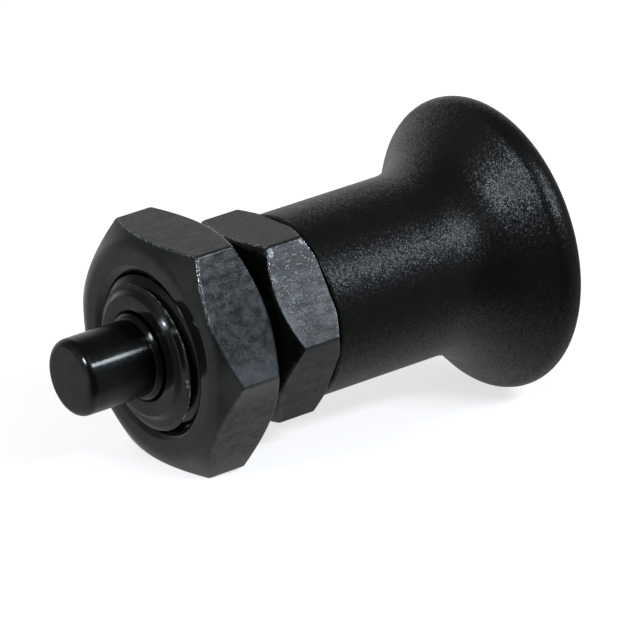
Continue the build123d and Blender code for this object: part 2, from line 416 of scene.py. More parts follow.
FLARE_START = 22.1 * MM
FLARE_RADIUS = 8.0 * MM
FLARE_ANGLE = radians(46.5)


def arc(centre, radius, start, end, count):
    """Points (x, r) along an arc, from the start angle to the end angle, both included."""
    return [
        (centre[0] + radius * cos(start + (end - start) * k / count),
         centre[1] + radius * sin(start + (end - start) * k / count))
        for k in range(count + 1)
    ]


# --- pieces ---


def build_lock_nut(sizes):
    """Hexagon nut with soft chamfers on both faces, a countersunk bore and thread grooves."""
    reach = NUT_FLATS / sqrt(3) + 1.0 * MM
    run = (reach - NUT_FACE) * NUT_SLOPE
    bore = THREAD_RADIUS + 0.05 * MM
    mouth = THREAD_RADIUS + 1.05 * MM
    rim = THREAD_RADIUS + 0.7 * MM
    blank = turned("nut_blank", [
        (NUT_FRONT, mouth),
        (NUT_FRONT, NUT_FACE),
        (NUT_FRONT + run, reach),
        (NUT_REAR - run, reach),
        (NUT_REAR, NUT_FACE),
        (NUT_REAR, mouth),
        (NUT_REAR - 0.2 * MM, rim),
        (NUT_REAR - 0.75 * MM, bore),
        (NUT_FRONT + 0.75 * MM, bore),
        (NUT_FRONT + 0.2 * MM, rim),
    ], rounds={0: (0.4 * MM, 4), 1: (sizes.nut_face_radius, 8), 4: (sizes.nut_face_radius, 8),
               5: (0.4 * MM, 4)})
    nut = hexagon_bar(
        "dressed_lock_nut", NUT_FLATS, NUT_FRONT - 2 * MM, NUT_REAR + 2 * MM, sizes.corner_radius)
    carve(nut, blank, "INTERSECT")
    sharing = faces_of_edges(nut.data)
    soften(nut, sizes.nut_edge_width,
           lambda mesh, edge: is_chamfer_edge(mesh, sharing, edge, NUT_FACE))
    turns = int((NUT_REAR - NUT_FRONT) / sizes.pitch) + 3
    cutter = groove_cutter(
        "nut_thread", bore, sizes.nut_thread_depth, sizes.pitch, NUT_FRONT - 1.2 * sizes.pitch,
        turns, True, radians(-20))
    carve(nut, cutter, "DIFFERENCE")
    return nut


def build_guide_body(sizes):
    """Threaded nose, hexagon collar and rear shank in one piece, bored for pin and spring."""
    mouth = GUIDE_BORE + 0.3 * MM
    core = turned("dressed_guide_body", [
        (NOSE_FACE, mouth),
        (NOSE_FACE, 6.25 * MM),
        (NOSE_FACE + 0.48 * MM, 6.73 * MM),
        (NOSE_FACE + 0.6 * MM, 7.5 * MM),
        (NOSE_FACE + 0.85 * MM, THREAD_RADIUS),
        (2.0 * MM, THREAD_RADIUS),
        (2.0 * MM, SHANK_RADIUS),
        (SHANK_END - 0.5 * MM, SHANK_RADIUS),
        (SHANK_END, SHANK_RADIUS - 0.5 * MM),
        (SHANK_END, CHAMBER_RADIUS),
        (CHAMBER_FRONT, CHAMBER_RADIUS),
        (CHAMBER_FRONT, GUIDE_BORE),
        (NOSE_FACE + 0.3 * MM, GUIDE_BORE),
    ], rounds={0: (0.06 * MM, 2), 1: (0.1 * MM, 3), 2: (0.5 * MM, 5), 3: (0.5 * MM, 2),
               4: (0.1 * MM, 3)})

    reach = COLLAR_FLATS / sqrt(3) + 1.0 * MM
    inner = CHAMBER_RADIUS + 0.6 * MM
    blank = turned("collar_blank", [
        (0.0, inner),
        (0.0, COLLAR_FRONT),
        ((reach - COLLAR_FRONT) * COLLAR_SLOPE, reach),
        (COLLAR_LENGTH - (reach - COLLAR_REAR) * COLLAR_SLOPE, reach),
        (COLLAR_LENGTH, COLLAR_REAR),
        (COLLAR_LENGTH, inner),
    ], rounds={1: (0.5 * MM, 4)})
    collar = hexagon_bar(
        "collar", COLLAR_FLATS, -2.0 * MM, COLLAR_LENGTH + 2.0 * MM, sizes.corner_radius,
        COLLAR_CLOCKING)
    carve(collar, blank, "INTERSECT")
    carve(core, collar, "UNION")
    cutter = groove_cutter(
        "nose_thread", THREAD_RADIUS, sizes.thread_depth, sizes.pitch,
        NOSE_FACE - 1.09 * MM, 8, False, radians(-120), crest=0.1 * MM)
    carve(core, cutter, "DIFFERENCE")
    sharing = faces_of_edges(core.data)

    def front_edge(mesh, edge):
        return (middle_of(mesh, edge).x < COLLAR_LENGTH / 2
                and is_chamfer_edge(mesh, sharing, edge, COLLAR_FRONT))
    soften(core, sizes.collar_edge_width, front_edge)
    return core


def build_plunger_pin():
    """Ground pin, guide, flange, stem and threaded stem end, turned in one piece."""
    guide = GUIDE_BORE - 0.03 * MM
    guide_front = NOSE_FACE - 0.25 * MM
    flange = guide + 1.03 * MM
    stem, thread = 3.0 * MM, 2.5 * MM
    ease = 0.3 * MM         # chamfer on the guide's front edge
    tip, rear = pin_low.x, pin_high.x
    return turned("dressed_plunger_pin", [
        (tip, 0.0),
        (tip, PIN_RADIUS),
        (guide_front - ease, PIN_RADIUS),
        (guide_front - ease, guide - ease),
        (guide_front, guide),
        (CHAMBER_FRONT, guide),
        (CHAMBER_FRONT, flange),
        (spring_low.x, flange),
        (spring_low.x, stem),
        (insert_low.x, stem),
        (insert_low.x, thread),
        (rear - 0.5 * MM, thread),
        (rear, thread - 0.5 * MM),
        (rear, 0.0),
    ], rounds={1: (0.9 * MM, 10), 2: (0.12 * MM, 3), 3: (0.05 * MM, 2), 4: (0.1 * MM, 3),
               6: (0.15 * MM, 3), 7: (0.15 * MM, 3)}, closed=False)


def build_knob():
    """Moulded knob: sleeve over the shank, flare to a rounded rim, and a gently domed end."""
    bore = SHANK_RADIUS + 0.2 * MM
    hub, insert_rear = insert_low.x, insert_high.x
    groove_half = 0.8 * MM
    groove_middle = (hub + insert_rear) / 2
    groove_radius = INSERT_RADIUS - 0.6 * MM
    rim_round = 2.0 * MM
    crown = 70.0 * MM
    slope_sin, slope_cos = sin(FLARE_ANGLE), cos(FLARE_ANGLE)
    flare_end_x = FLARE_START + FLARE_RADIUS * slope_sin
    flare_end_r = SLEEVE_RADIUS + FLARE_RADIUS * (1 - slope_cos)
    rim_start_r = RIM_RADIUS - rim_round * (1 - slope_cos)
    rim_start_x = flare_end_x + (rim_start_r - flare_end_r) / tan(FLARE_ANGLE)
    rim_centre = (rim_start_x + rim_round * slope_sin, RIM_RADIUS - rim_round)
    crown_angle = asin(rim_centre[1] / (crown - rim_round))
    crown_centre = (rim_centre[0] - (crown - rim_round) * cos(crown_angle), 0.0)
    profile = [
        (insert_rear, 0.0),
        (insert_rear, INSERT_RADIUS),
        (groove_middle + groove_half, INSERT_RADIUS),
        (groove_middle + groove_half, groove_radius),
        (groove_middle - groove_half, groove_radius),
        (groove_middle - groove_half, INSERT_RADIUS),
        (hub, INSERT_RADIUS),
        (hub, bore),
        (knob_low.x, bore),
        (knob_low.x, SLEEVE_RADIUS),
    ]
    profile += arc((FLARE_START, SLEEVE_RADIUS + FLARE_RADIUS), FLARE_RADIUS,
                   -pi / 2, -pi / 2 + FLARE_ANGLE, 20)
    profile += arc(rim_centre, rim_round, pi / 2 + FLARE_ANGLE, crown_angle, 24)
    profile += arc(crown_centre, crown, crown_angle, 0.0, 16)[1:]
    return turned("dressed_knob", profile, rounds={8: (0.15 * MM, 2), 9: (0.35 * MM, 5)},
                  closed=False)


def build_spring():
    """Compression spring of round wire with a closed turn and a ground face at each end."""
    wire = 0.55 * MM
    length = spring_high.x - spring_low.x
    closed_rise = 1.16 * MM
    end_turns, open_turns = 2, 5
    open_rise = (length - 2 * end_turns * closed_rise) / open_turns
    start = spring_low.x
    coils = []
    for count, rise in ((end_turns, closed_rise), (open_turns, open_rise),
                        (end_turns, closed_rise)):
        coil = start_piece(
            "coil", bpy.ops.mesh.primitive_circle_add, vertices=WIRE_SIDES, radius=wire,
            fill_type="NOTHING", location=(start, 0, SPRING_RADIUS - wire),
            rotation=(pi / 2, 0, 0))
        place(coil)
        wind(coil, rise, count, COIL_STEPS)
        coils.append(coil)
        start += count * rise
    spring = coils[0]
    make_active(spring)
    for coil in coils:
        coil.select_set(True)
    bpy.ops.object.join()
    spring.name = "dressed_spring"
    tidy_mesh(spring)
    edit_all(bpy.ops.mesh.fill_holes, sides=WIRE_SIDES)
    for x, front in ((spring_low.x, True), (spring_high.x, False)):
        edit_all(bpy.ops.mesh.bisect, plane_co=(x, 0, 0), plane_no=(1, 0, 0), use_fill=True,
                 clear_inner=front, clear_outer=not front, threshold=MERGE)
    tidy_mesh(spring)
    return spring


# --- shader nodes: small steps that build a material ---


class Field:
    """A node's output as a term of a formula: each operation adds a Math node to its tree."""

    def __init__(self, socket):
        self.socket = socket
        self.tree = socket.id_data

    def __add__(self, other):
        return calculate("ADD", self, other)

    def __sub__(self, other):
        return calculate("SUBTRACT", self, other)

    def __rsub__(self, other):
        return calculate("SUBTRACT", other, self)

    def __mul__(self, other):
        return calculate("MULTIPLY", self, other)

    def __abs__(self):
        return calculate("ABSOLUTE", self)

    def parts(self, kind="XYZ"):
        """The three parts of a vector or, with kind Color, of a colour."""
        return [Field(out) for out in add_node(self.tree, "Separate" + kind, {0: self}).outputs]


def plug(socket, value):
    """Sets a node's input, or links it if the value is a field."""
    if isinstance(value, Field):
        socket.id_data.links.new(value.socket, socket)
    elif socket.type == "RGBA":
        socket.default_value = (*value, 1.0)
    else:
        socket.default_value = value


def add_node(tree, kind, values=(), **settings):
    """A shader node of this kind with its settings, and the values of its inputs by label."""
    node = tree.nodes.new("ShaderNode" + kind)
    for name, setting in settings.items():
        setattr(node, name, setting)
    for label, value in dict(values).items():
        plug(node.inputs[label], value)
    return node


def add_field(tree, kind, out, values=(), **settings):
    """Adds a shader node and gives one of its outputs as a field."""
    return Field(add_node(tree, kind, values, **settings).outputs[out])


def fill_in(node, **values):
    """Fills a node's inputs by label. In the labels here, _ stands for a space."""
    for label, value in values.items():
        plug(node.inputs[label.replace("_", " ")], value)


def calculate(operation, *values):
    """A Math node on numbers and fields."""
    tree = next(value.tree for value in values if isinstance(value, Field))
    return add_field(tree, "Math", 0, enumerate(values), operation=operation)


def calculate_vector(operation, *values):
    """A Vector Math node on vectors. SCALE takes a vector and a number."""
    labels = (0, "Scale") if operation == "SCALE" else (0, 1)
    out = "Value" if operation in ("DISTANCE", "DOT_PRODUCT") else "Vector"
    return add_field(values[0].tree, "VectorMath", out, zip(labels, values), operation=operation)


def ramp(value, low, high, to_low=0.0, to_high=1.0):
    """A smooth step from one value to another as the field goes from low to high."""
    return add_field(value.tree, "MapRange", "Result", {
        "Value": value, "From Min": low, "From Max": high, "To Min": to_low, "To Max": to_high,
    }, interpolation_type="SMOOTHSTEP", clamp=True)


def noise(at, scale, detail, roughness):
    """A cloudy value between 0 and 1."""
    return add_field(at.tree, "TexNoise", "Fac", {
        "Vector": at, "Scale": scale, "Detail": detail, "Roughness": roughness})


def cells(at, scale):
    """Small cells, each with a colour of its own."""
    return add_field(at.tree, "TexVoronoi", "Color", {"Vector": at, "Scale": scale})


def mix(factor, a, b):
    """A colour between a and b, which are colours or fields."""
    return add_field(factor.tree, "Mix", "Result", {"Factor": factor, "A": a, "B": b},
                     data_type="RGBA")


def from_axis(y, z):
    """A point's distance from the X axis."""
    return calculate("SQRT", y * y + z * z)


def tilt_normal(lean):
    """The surface's normal with a small vector added to it."""
    normal = add_field(lean.tree, "NewGeometry", "Normal")
    return calculate_vector("NORMALIZE", calculate_vector("ADD", lean, normal))


def scaled(color, factor):
    """A colour made lighter or darker."""
    return tuple(min(1.0, part * factor) for part in color)


# --- node groups ---

VECTOR_SOCKETS = ("Position", "Normal")


def new_group(name, inputs, outputs):
    """The inputs of a new shader node group, as fields, and a function that fills its outputs.

    inputs maps the labels of the inputs after Position to their default values.
    """
    inputs = {"Position": None, **inputs}
    group = bpy.data.node_groups.new(name, "ShaderNodeTree")
    for labels, in_out in ((inputs, "INPUT"), (outputs, "OUTPUT")):
        for label in labels:
            kind = "NodeSocketVector" if label in VECTOR_SOCKETS else "NodeSocketFloat"
            socket = group.interface.new_socket(name=label, in_out=in_out, socket_type=kind)
            if in_out == "INPUT" and kind == "NodeSocketFloat":
                socket.default_value = inputs[label]
    enter = group.nodes.new("NodeGroupInput")
    leave = group.nodes.new("NodeGroupOutput")

    def fill(*fields):
        for label, field in zip(outputs, fields):
            plug(leave.inputs[label], field)
        return group
    return {label: Field(enter.outputs[label]) for label in inputs}, fill


def hexagon_edges(name):
    """How near a point on a chamfered hexagon is to a chamfer's edge and to a long edge."""
    given, fill = new_group(name, {
        "Half Flats": 10 * MM, "Clocking": 0.0, "Slope": 0.65,
        "Front X": 0.0, "Front Face": 10 * MM, "Rear X": 10 * MM, "Rear Face": 10 * MM,
    }, ("Chamfer Edge", "Long Edge", "Flat", "Upper"))
    x, y, z = given["Position"].parts()
    flats = []
    for k in range(HEX_SIDES // 2):
        angle = given["Clocking"] + (pi / 2 + k * pi / 3)
        along = y * calculate("COSINE", angle) + z * calculate("SINE", angle)
        flats.append(given["Half Flats"] - abs(along))
    radius = from_axis(y, z)
    ends = []
    for side, sign in (("Front", 1), ("Rear", -1)):
        inward = (x - given[side + " X"]) * sign
        ends.append(inward - (radius - given[side + " Face"]) * given["Slope"])
    low = calculate("MINIMUM", flats[0], flats[1])
    high = calculate("MAXIMUM", flats[0], flats[1])
    nearest = calculate("MINIMUM", low, flats[2])
    second = calculate("MINIMUM", high, calculate("MAXIMUM", low, flats[2]))
    end = calculate("MINIMUM", *ends)
    return fill(calculate("MAXIMUM", nearest, end), second,
                ramp(nearest, 0.05 * MM, 0.2 * MM, 1.0, 0.0), ramp(z, 4 * MM, 8 * MM))


def oxide_grain(name):
    """Mottled grain of black oxide: cloudy patches, fine pits and a random value per grain."""
    given, fill = new_group(name, {
        "Along": 1.0, "Patch Scale": 900.0, "Grain Scale": 5200.0,
    }, ("Patches", "Height", "Grains", "Specks"))
    at, grain_scale = given["Position"], given["Grain Scale"]
    x, y, z = at.parts()
    stretched = add_field(at.tree, "CombineXYZ", 0, {0: x * given["Along"], 1: y, 2: z})
    patches = noise(stretched, given["Patch Scale"], 6.0, 0.72)
    pits = noise(at, grain_scale, 1.0, 0.6)
    grains = cells(at, grain_scale).parts("Color")[0]
    return fill(patches, patches * 0.5 + pits * 0.6, grains, ramp(pits, 0.46, 0.6))


def crest_wear(name):
    """Bright knocks and rubs along the nose's outermost edge, broken up into short runs."""
    given, fill = new_group(name, {
        "Face X": -11 * MM, "Reach": 1.1 * MM, "Radius": 8 * MM,
        "Groove X": -10.5 * MM, "Pitch": 1.5 * MM,
    }, ("Wear",))
    at = given["Position"]
    x, y, z = at.parts()
    radius = from_axis(y, z)
    turn = calculate("ARCTAN2", z, y * -1.0)
    edge = given["Groove X"] - turn * (given["Pitch"] * (0.5 / pi))
    drop = (given["Radius"] - radius) * FLANK_SLOPE
    near = ramp(abs(x - (edge + drop)), 0.02 * MM, 0.13 * MM, 1.0, 0.0)
    near = near * ramp(radius, 7.2 * MM, 7.4 * MM)
    near = near * ramp(x - given["Face X"], given["Reach"] - 0.1 * MM, given["Reach"], 1.0, 0.0)
    runs = ramp(noise(at, 420.0, 3.0, 0.6), 0.48, 0.58)
    bits = ramp(noise(at, 3000.0, 2.0, 0.6), 0.46, 0.56)
    return fill(near * (runs * bits))


def ground_rings(name):
    """Grinding marks: narrow rings round the X axis, each tilted along it by its own amount."""
    given, fill = new_group(name, {"Pitch": 0.004 * MM, "Tilt": 0.2}, ("Normal",))
    x = given["Position"].parts()[0]
    ring = calculate("FLOOR", calculate("DIVIDE", x, given["Pitch"]))
    chance = add_field(x.tree, "TexWhiteNoise", "Value", {"W": ring}, noise_dimensions="1D")
    lean = add_field(x.tree, "CombineXYZ", 0, {0: (chance - 0.5) * given["Tilt"]})
    return fill(tilt_normal(lean))


def moulded_grain(name):
    """Spark-eroded grain: every small cell of the surface tilts its own way."""
    given, fill = new_group(name, {"Scale": 5000.0, "Tilt": 0.4}, ("Normal", "Tone"))
    color = cells(given["Position"], given["Scale"])
    lean = calculate_vector("SCALE", calculate_vector("SUBTRACT", color, (0.5, 0.5, 0.5)),
                            given["Tilt"])
    return fill(tilt_normal(lean), color.parts("Color")[1])


def add_group(at, build, **values):
    """Places a node group, built when it is first asked for. Its outputs are fields by label."""
    name = build.__name__
    node = add_node(at.tree, "Group", node_tree=bpy.data.node_groups.get(name) or build(name))
    fill_in(node, Position=at, **values)
    return {out.name: Field(out) for out in node.outputs}


# --- materials ---


def new_material(name, base_color, roughness, metallic=0.0):
    """A material with its Principled shader, and its Object coordinate as a field."""
    material = bpy.data.materials.new(name)
    material.use_nodes = True
    tree = material.node_tree
    shader = tree.nodes["Principled BSDF"]
    fill_in(shader, Base_Color=base_color, Roughness=roughness, Metallic=metallic)
    material.diffuse_color = (*base_color, 1.0)
    return material, shader, add_field(tree, "TexCoord", "Object")


def add_bump(shader, height, distance):
    """A Bump node in front of the shader's Normal."""
    fill_in(shader, Normal=add_field(
        height.tree, "Bump", "Normal", {"Height": height, "Distance": distance}))


def rub_mark(at, x, radius, degrees, reach, amount):
    """A bright spot of bare steel round one point, given by its place along and round the X axis.
    It serves for rubbed steel and for painted highlights.
    """
    angle = radians(degrees)
    spot = (x, -radius * cos(angle), radius * sin(angle))
    return ramp(calculate_vector("DISTANCE", at, spot), 0.4 * reach, reach, amount, 0.0)


def hex_oxide_material(name, base, roughness, worn, bump, painted_top_shade, painted_low_band, hexagon, grain,
                       crest=None, marks=()):
    """Black oxide on a hexagon, rubbed through in specks along its edges.

    painted_top_shade is how much darker the top is painted, as painted shade. painted_low_band is
    the tone painted beside a long edge lower down, as a share of base, and its strength: painted
    light where it is lighter, painted shade where it is darker. hexagon, grain and crest are their
    node groups' values.
    marks are the bright spots of bare steel: rubbed steel, and painted highlights on the nose.
    """
    material, shader, at = new_material(name, base, roughness, 0.82)
    shape = add_group(at, hexagon_edges, **hexagon)
    oxide = add_group(at, oxide_grain, **grain)
    flat, upper, specks = shape["Flat"], shape["Upper"], oxide["Specks"]

    # mottled oxide, with painted shade on top, a few painted glint specks, and a band of painted
    # light and shade along each long edge lower down, lighter on the nut and darker on the collar
    tone = ramp(oxide["Patches"], 0.36, 0.66, -0.45, 0.45) + (oxide["Grains"] - 0.5) * 0.4
    tone = tone * ramp(flat, 0.0, 1.0, 0.25, 1.0)
    tone = tone + ramp(shape["Chamfer Edge"], 0.0, 0.8 * MM, 0.3, 0.0) * flat
    cloud = mix(tone + 0.5, scaled(base, 0.55), scaled(base, 1.45))
    # painted shade: the top of the hexagon is made darker
    cloud = calculate_vector("SCALE", cloud, ramp(upper, 0.0, 1.0, 1.0, 1.0 - painted_top_shade))
    # painted glint specks: a few grains on the flats are made lighter
    painted_glints = calculate("GREATER_THAN", oxide["Grains"], 0.93)
    cloud = mix(painted_glints * flat, cloud, scaled(base, 1.6))
    # painted light and shade: a band beside each long edge lower down, lighter on the nut and
    # darker on the collar
    band_tone, band_strength = painted_low_band
    painted_edge_band = (1.0 - upper) * ramp(shape["Long Edge"], 0.0, 3.5 * MM, band_strength, 0.0)
    cloud = mix(painted_edge_band, cloud, scaled(base, band_tone))

    # bare steel: rubbed specks along the chamfers, a line on the long edges, and the bright spots,
    # which are rubbed steel and, on the nose, painted highlights
    rubbed = ramp(shape["Chamfer Edge"], 0.05 * MM, 0.22 * MM, 1.0, 0.0) * specks
    rubbed = rubbed * ramp(upper, 0.0, 1.0, 0.18, 1.0)
    line = ramp(shape["Long Edge"], 0.05 * MM, 0.2 * MM, 1.0, 0.0) * (flat * 0.24)
    rubbed = calculate("MAXIMUM", rubbed, line)
    if crest:
        rubbed = calculate("MAXIMUM", rubbed, add_group(at, crest_wear, **crest)["Wear"])
    bright = rubbed
    broken = ramp(specks, 0.0, 1.0, 0.3, 1.0)
    # painted highlights among the bright spots: the one on the nose's chamfer, and in part those
    # on the crest
    for mark in marks:
        bright = calculate("MAXIMUM", bright, rub_mark(at, *mark) * broken)

    # the chamfers and end faces are glossier and smoother than the flats
    gloss = ramp(oxide["Patches"], 0.3, 0.7, roughness * 0.85, roughness * 1.2)
    fill_in(shader, Base_Color=mix(bright, cloud, worn),
            Roughness=gloss * ramp(flat, 0.0, 1.0, 0.45, 1.0))
    knocks = rubbed * (specks * 5.0)
    add_bump(shader, knocks + oxide["Height"] * ramp(flat, 0.0, 1.0, 0.3, 1.0), bump)
    return material


def pin_oxide_material(finish):
    """Black oxide over a ground surface: fine rings round the axis and a semi-gloss, with painted
    shade on the guide.
    """
    base, roughness = finish.pin_oxide, finish.pin_roughness
    material, shader, at = new_material("pin_oxide", base, roughness, 1.0)
    smudges = noise(at, 700.0, 3.0, 0.6)
    _, y, z = at.parts()
    # painted shade: the guide, which sits in the nose's bore, is made darker
    guide = ramp(from_axis(y, z), PIN_RADIUS + 0.05 * MM, PIN_RADIUS + 0.15 * MM)
    tone = mix(ramp(smudges, 0.35, 0.7), scaled(base, 0.9), scaled(base, 1.15))
    fill_in(shader, Base_Color=mix(guide, tone, scaled(base, 0.6)),
            Roughness=ramp(smudges, 0.3, 0.75, roughness * 0.8, roughness * 1.35),
            Normal=add_group(at, ground_rings, Pitch=0.004 * MM, Tilt=0.22)["Normal"])
    return material


def knob_plastic_material(finish):
    """Black thermoplastic with a fine spark-eroded grain."""
    base, roughness = finish.knob_plastic, finish.knob_roughness
    material, shader, at = new_material("knob_plastic", base, roughness)
    grain = add_group(at, moulded_grain, Scale=8200.0, Tilt=0.27)
    cloud = noise(at, 260.0, 3.0, 0.55)
    fill_in(shader, Base_Color=mix(grain["Tone"], scaled(base, 0.8), scaled(base, 1.2)),
            Roughness=ramp(cloud, 0.3, 0.7, roughness * 0.92, roughness * 1.1),
            Normal=grain["Normal"], Specular_IOR_Level=0.45)
    return material


def turned_metal_material(name, base, roughness):
    """Bare turned or drawn metal with fine rings."""
    material, shader, at = new_material(name, base, roughness, 1.0)
    stretched = add_field(
        at.tree, "Mapping", "Vector", {"Vector": at, "Scale": (1.0, 0.15, 0.15)})
    rings = noise(stretched, 3000.0, 3.0, 0.6)
    fill_in(shader,
            Base_Color=mix(ramp(rings, 0.35, 0.7), scaled(base, 0.86), scaled(base, 1.12)),
            Roughness=ramp(rings, 0.3, 0.7, roughness * 0.85, roughness * 1.2))
    add_bump(shader, rings, 0.004 * MM)
    return material


# --- stage: light, floor and camera ---

COOL_LIGHT = (0.93, 1.0, 1.13)
WHITE = (1, 1, 1)
LAMP_DISTANCE = 0.5
RESTING_X = -9.4 * MM                           # where the nut's bottom flat meets the floor
CAMERA_PLACE = (-0.32621, -0.46835, 0.24583)
CAMERA_RIGHT = Vector((0.79915, -0.59947, -0.04460))
CAMERA_UP = Vector((0.27029, 0.29206, 0.91741))
CAMERA_LENS = 348.43                            # millimetres, on a 36 mm sensor
ROOM_GLOW = 0.2
# Brighter and darker parts of the room: azimuth and elevation in degrees, where the part starts
# and where it is full, as the cosine of the angle away from its middle, and its strength.
ROOM_PARTS = (
    (320, 0, 0.1, 0.8, -0.14),
    (150, 65, 0.5, 1.0, -0.1),
    (3, 48, 0.85, 1.0, 0.3),
    (38, 30, 0.955, 0.998, 0.15),
    (262, 10, 0.85, 1.0, 0.25),
)


def toward(azimuth, elevation):
    """The direction from the plunger, in degrees; azimuth 0 is at -Y and 90 at +X."""
    turn, rise = radians(azimuth), radians(elevation)
    return Vector((sin(turn) * cos(rise), -cos(turn) * cos(rise), sin(rise)))


def add_softbox(name, start, end, height, power, target):
    """A lamp that runs from one direction to another and faces the plunger."""
    back = (start + end).normalized()
    side = (end - start).normalized()
    bpy.ops.object.light_add(type="AREA")
    lamp = bpy.context.active_object
    lamp.name = name
    lamp.data.shape = "RECTANGLE"
    lamp.data.size, lamp.data.size_y = (end - start).length * LAMP_DISTANCE, height
    lamp.data.energy = power
    lamp.data.color = COOL_LIGHT
    lamp.location = target + back * LAMP_DISTANCE
    lamp.rotation_euler = Matrix((side, back.cross(side), back)).transposed().to_euler()


def show_by_ray(kind, felt, seen):
    """Ends a World or Material tree: the camera gets one shader and every other ray another."""
    tree = felt.tree
    surface = add_field(tree, "MixShader", 0, {
        0: add_field(tree, "LightPath", "Is Camera Ray"), 1: felt, 2: seen})
    add_node(tree, "Output" + kind, {"Surface": surface})


def studio_world():
    """White to the camera. To the surfaces: a dim room, a pale backdrop, a bright sweep below."""
    world = bpy.data.worlds.new("studio")
    bpy.context.scene.world = world
    world.use_nodes = True
    tree = world.node_tree
    tree.nodes.clear()
    at = add_field(tree, "TexCoord", "Generated")
    z = at.parts()[2]

    def facing(azimuth, elevation, low, high, amount):
        cosine = calculate_vector("DOT_PRODUCT", at, toward(azimuth, elevation))
        return ramp(cosine, low, high, 0.0, amount)
    total = ramp(z, -0.45, -0.95, 0.0, 0.27)  # the bright sweep
    total = total + facing(235, 0, 0.25, 0.9, 0.2) * ramp(z, 0.1, -0.3)
    total = total + facing(158, -4, 0.6, 1.0, 0.41) * ramp(z, -0.7, -0.1)  # the backdrop
    for part in ROOM_PARTS:
        total = total + facing(*part)
    seen = add_field(tree, "Background", 0, {"Color": WHITE, "Strength": 1.0})
    felt = add_field(tree, "Background", 0, {
        "Color": mix(facing(38, 30, 0.93, 0.99, 1.0), (0.97, 1.0, 0.97), (0.86, 1.0, 1.22)),
        "Strength": total + ROOM_GLOW})
    show_by_ray("World", felt, seen)


def floor_material():
    """Plain pale floor for the camera. The surfaces are lit by the world's bright sweep."""
    material = bpy.data.materials.new("pale_floor")
    material.use_nodes = True
    tree = material.node_tree
    tree.nodes.clear()
    matt = add_field(tree, "BsdfDiffuse", 0, {"Color": (0.9, 0.9, 0.9)})
    lift = add_field(tree, "Emission", 0, {"Color": WHITE, "Strength": 0.7})
    pale = add_field(tree, "AddShader", 0, {0: matt, 1: lift})
    show_by_ray("Material", add_field(tree, "BsdfTransparent", 0), pale)
    return material


# --- operators ---

NUT_GRAIN = {"Along": 0.8, "Patch_Scale": 950.0, "Grain_Scale": 7000.0}
COLLAR_GRAIN = {"Along": 0.45, "Patch_Scale": 1000.0, "Grain_Scale": 7000.0}
# Bright spots of bare steel, in mm: the x that the first length counts from, that length, the
# distance from the axis, the degrees round it from -Y, the reach, and how bright.
BRIGHT_SPOTS = tuple(
    (start + x * MM, radius * MM, degrees, reach * MM, amount)
    for start, x, radius, degrees, reach, amount in (
        # painted highlight: a broad bright spot on the nose's chamfer
        (NOSE_FACE, 0.25, 6.5, 48, 0.9, 0.55),
        # on the nose's crest: partly rubbed steel, partly painted highlights
        (NOSE_FACE, 0.6, 7.6, 53, 0.4, 0.95),
        (NOSE_FACE, 0.6, 7.6, 45, 0.4, 0.95),
        (NOSE_FACE, 0.6, 7.6, 36, 0.3, 0.8),
        (NOSE_FACE, 0.5, 7.5, -4, 0.35, 0.9),
        (NOSE_FACE, 0.6, 7.6, -8, 0.3, 0.9),
        # rubbed steel on the collar
        (0.0, 1.45, 10.7, 59, 0.7, 0.5),
        (0.0, 0.85, 9.95, 45, 0.7, 0.2),
        (0.0, 5.6, 10.7, 60, 0.5, 0.3)))


class PLUNGER_OT_lock_nut(bpy.types.Operator):
    """Build the lock nut with its chamfers, countersinks and thread grooves"""

    bl_idname = "plunger.lock_nut"
    bl_label = "Lock Nut"

    def execute(self, context):
        sizes, finish = context.scene.plunger_sizes, context.scene.plunger_finish
        nut = build_lock_nut(sizes)
        hand_over(nut, "nut", "lock_nut", hex_oxide_material(
            "nut_oxide", finish.nut_oxide, finish.nut_roughness, finish.worn_steel,
            bump=0.004 * MM, painted_top_shade=0.0, painted_low_band=(2.8, 0.6), grain=NUT_GRAIN, hexagon={
                "Half_Flats": NUT_FLATS / 2, "Clocking": 0.0, "Slope": NUT_SLOPE,
                "Front_X": NUT_FRONT, "Front_Face": NUT_FACE,
                "Rear_X": NUT_REAR, "Rear_Face": NUT_FACE}))
        return {"FINISHED"}


class PLUNGER_OT_guide_body(bpy.types.Operator):
    """Build the guide body: threaded nose, hexagon collar and rear shank"""

    bl_idname = "plunger.guide_body"
    bl_label = "Guide Body"

    def execute(self, context):
        sizes, finish = context.scene.plunger_sizes, context.scene.plunger_finish
        body = build_guide_body(sizes)
        hand_over(body, "housing", "guide_body", hex_oxide_material(
            "body_oxide", finish.body_oxide, finish.body_roughness, finish.worn_steel,
            bump=0.006 * MM, painted_top_shade=0.45, painted_low_band=(0.6, 0.3), grain=COLLAR_GRAIN, hexagon={
                "Half_Flats": COLLAR_FLATS / 2, "Clocking": COLLAR_CLOCKING,
                "Slope": COLLAR_SLOPE, "Front_X": 0.0, "Front_Face": COLLAR_FRONT,
                "Rear_X": COLLAR_LENGTH, "Rear_Face": COLLAR_REAR},
            crest={"Face_X": NOSE_FACE, "Reach": 1.15 * MM, "Radius": THREAD_RADIUS,
                   "Groove_X": NOSE_FACE + 0.63 * MM, "Pitch": sizes.pitch},
            marks=BRIGHT_SPOTS))
        return {"FINISHED"}


class PLUNGER_OT_pin(bpy.types.Operator):
    """Build the index pin with its guide, flange and stem"""

    bl_idname = "plunger.pin"
    bl_label = "Index Pin"

    def execute(self, context):
        pin = build_plunger_pin()
        hand_over(pin, "plunger", "plunger_pin",
                  pin_oxide_material(context.scene.plunger_finish))
        return {"FINISHED"}


